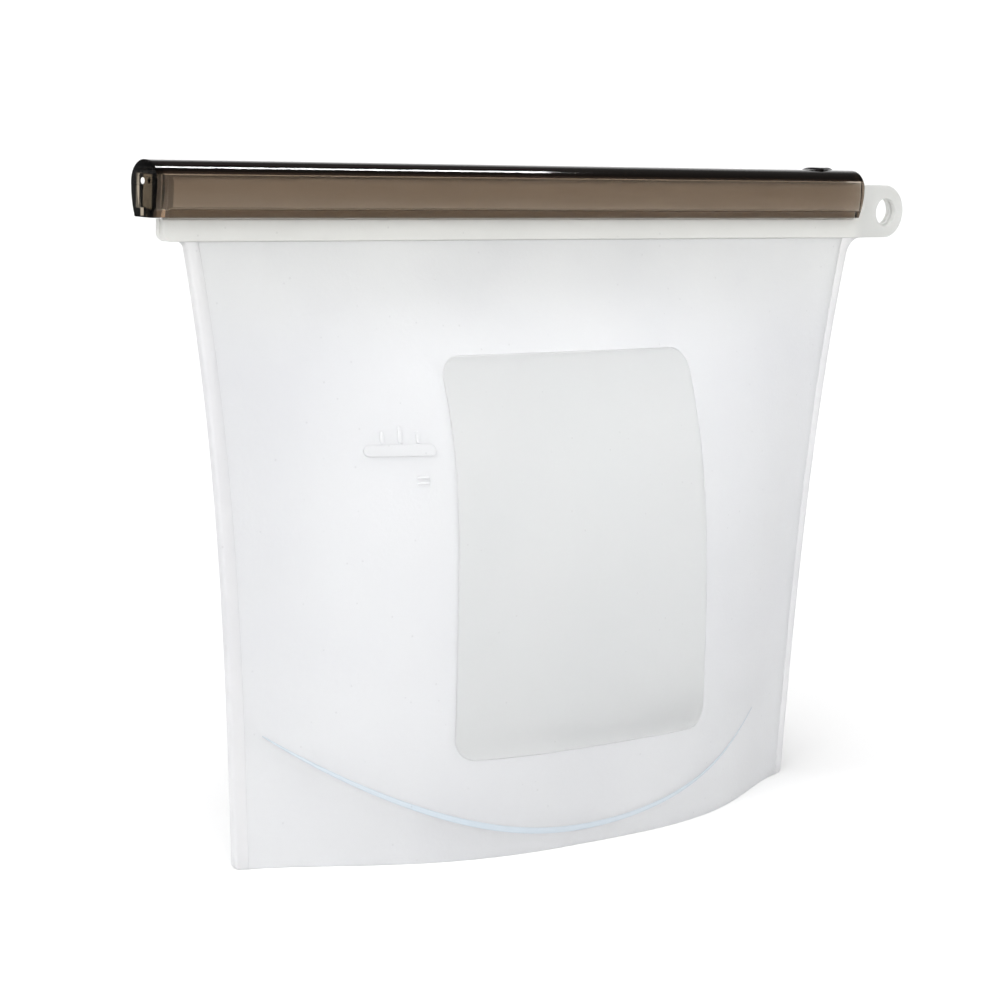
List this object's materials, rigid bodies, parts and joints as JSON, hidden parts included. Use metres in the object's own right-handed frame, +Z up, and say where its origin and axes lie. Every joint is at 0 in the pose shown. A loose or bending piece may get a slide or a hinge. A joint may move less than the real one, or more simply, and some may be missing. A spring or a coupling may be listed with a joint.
{
  "type": "reusable silicone food bag",
  "caption": "Stand-up translucent silicone food bag with a gusseted base, clear window, hang tab and slide-on rail closure.",
  "frame": {"origin": "middle of the object's footprint box, on the surface that the bag stands on", "axes": "+X along the rail towards the hang tab, +Y from the front of the bag to its back, +Z up from the base to the rail"},
  "size_m": [0.2612, 0.058, 0.1783],
  "materials": {
    "silicone_frosted": "translucent, fine matt",
    "silicone_clear": "clear, polished",
    "silicone_thick": "translucent, satin",
    "rail_smoke": "transparent smoke tint, glossy"
  },
  "bodies": {
    "bag": {"front_panel": "silicone_frosted", "front_window": "silicone_clear", "back_panel": "silicone_frosted", "base_gusset": "silicone_frosted", "side_seam_left": "silicone_thick", "side_seam_right": "silicone_thick", "front_lip": "silicone_thick", "back_lip": "silicone_thick"},
    "rail": {"rail_channel": "rail_smoke", "rail_end_wall": "rail_smoke", "rail_grip": "rail_smoke"}
  },
  "joints": [
    {"name": "rail_slide", "type": "slide", "parent": "bag", "child": "rail", "axis": [-1, 0, 0], "range_m": [0, 0.2345]}
  ]
}
